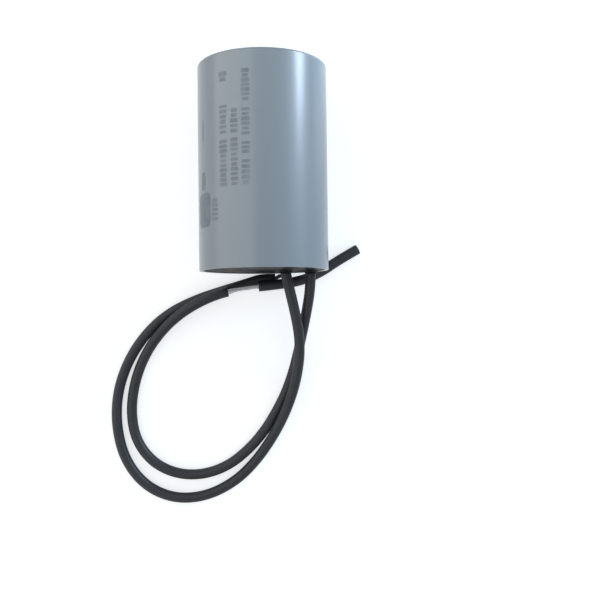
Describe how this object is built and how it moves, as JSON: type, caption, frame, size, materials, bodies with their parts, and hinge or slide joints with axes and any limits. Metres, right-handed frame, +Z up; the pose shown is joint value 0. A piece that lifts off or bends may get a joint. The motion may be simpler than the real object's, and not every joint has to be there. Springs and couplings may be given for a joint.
{
  "type": "motor-run film capacitor with two wire leads",
  "caption": "Round plastic-cased film capacitor, potted with resin at one end, with two insulated wire leads in a loose loop.",
  "frame": {"origin": "on the floor under the middle of the round can, which lies on its side", "axes": "+Y along the can's axis towards its closed end, +Z up; the two leads leave the other end at -Y"},
  "size_m": [0.0747, 0.125, 0.036],
  "materials": {
    "can_plastic": "satin grey moulded plastic",
    "potting_resin": "black cast resin",
    "core_plastic": "plain plastic tube",
    "wound_film": "silvery metallised film",
    "wrap_tape": "clear amber tape",
    "sprayed_zinc": "dull sprayed zinc",
    "solder": "dull solder",
    "tinned_copper": "tinned copper strands",
    "lead_insulation": "black soft plastic"
  },
  "bodies": {
    "root": {"can": "can_plastic", "potting_resin": "potting_resin", "core_tube": "core_plastic", "film_winding": "wound_film", "outer_wrap": "wrap_tape", "end_spray_lead_side": "sprayed_zinc", "end_spray_closed_side": "sprayed_zinc", "solder_joint_a": "solder", "solder_joint_b": "solder", "lead_a_conductor": "tinned_copper", "lead_b_conductor": "tinned_copper", "lead_a_insulation": "lead_insulation", "lead_b_insulation": "lead_insulation", "lead_b_end_slug": "lead_insulation"}
  },
  "joints": []
}
